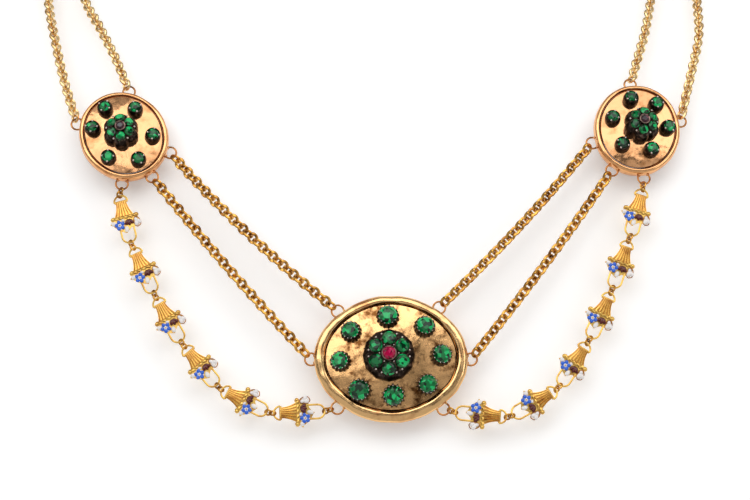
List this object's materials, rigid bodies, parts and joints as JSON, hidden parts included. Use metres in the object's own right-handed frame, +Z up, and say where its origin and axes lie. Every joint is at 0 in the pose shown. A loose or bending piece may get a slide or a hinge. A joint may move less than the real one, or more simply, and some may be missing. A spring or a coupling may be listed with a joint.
{
  "type": "enamel necklace",
  "caption": "Gold festoon necklace with gem-set oval plaques, double chains and enamelled flower-basket links, in its worn shape.",
  "frame": {"origin": "middle of the clasp's neck side, where the necklace rests on the nape", "axes": "+X to the right and +Y to the back for someone facing the wearer, +Z up; the plaques hang in front, at -Y and -Z"},
  "size_m": [0.1786, 0.1301, 0.1555],
  "materials": {
    "polished_gold": "worn polished yellow gold band with small dents",
    "ground_gold": "mirror-polished gold sheet, pitted and stained",
    "rose_gold": "soft polished reddish gold",
    "chain_gold": "bright polished yellow gold wire",
    "enamelled_gold": "gold with blue, white and dark red enamel in raised cells",
    "dark_silver": "blackened silver with bright worn claw tips",
    "green_stone": "faceted green stone, foiled",
    "red_stone": "faceted crimson stone",
    "garnet": "faceted dark purple-red stone"
  },
  "bodies": {
    "root": {"center_frame": "polished_gold", "center_ground": "ground_gold", "left_ground": "ground_gold", "right_ground": "ground_gold", "left_frame": "rose_gold", "right_frame": "rose_gold", "center_collets": "dark_silver", "left_collets": "dark_silver", "right_collets": "dark_silver", "center_rosette": "dark_silver", "left_rosette": "dark_silver", "right_rosette": "dark_silver", "center_rosette_stones": "green_stone", "left_stones": "green_stone", "right_stones": "green_stone", "left_rosette_stones": "green_stone", "right_rosette_stones": "green_stone", "center_stone_1": "green_stone", "center_stone_2": "green_stone", "center_stone_3": "green_stone", "center_stone_4": "green_stone", "center_stone_5": "green_stone", "center_stone_6": "green_stone", "center_stone_7": "green_stone", "center_stone_8": "green_stone", "center_ruby": "red_stone", "left_garnet": "garnet", "right_garnet": "garnet", "lower_chain_left_inner": "chain_gold", "lower_chain_left_outer": "chain_gold", "lower_chain_right_inner": "chain_gold", "lower_chain_right_outer": "chain_gold", "upper_chain_left_inner": "chain_gold", "upper_chain_left_outer": "chain_gold", "upper_chain_right_inner": "chain_gold", "upper_chain_right_outer": "chain_gold", "clasp": "chain_gold", "left_festoon_rings": "chain_gold", "right_festoon_rings": "chain_gold", "left_basket_1": "enamelled_gold", "left_basket_2": "enamelled_gold", "left_basket_3": "enamelled_gold", "left_basket_4": "enamelled_gold", "left_basket_5": "enamelled_gold", "left_basket_6": "enamelled_gold", "right_basket_1": "enamelled_gold", "right_basket_2": "enamelled_gold", "right_basket_3": "enamelled_gold", "right_basket_4": "enamelled_gold", "right_basket_5": "enamelled_gold", "right_basket_6": "enamelled_gold"}
  },
  "joints": []
}
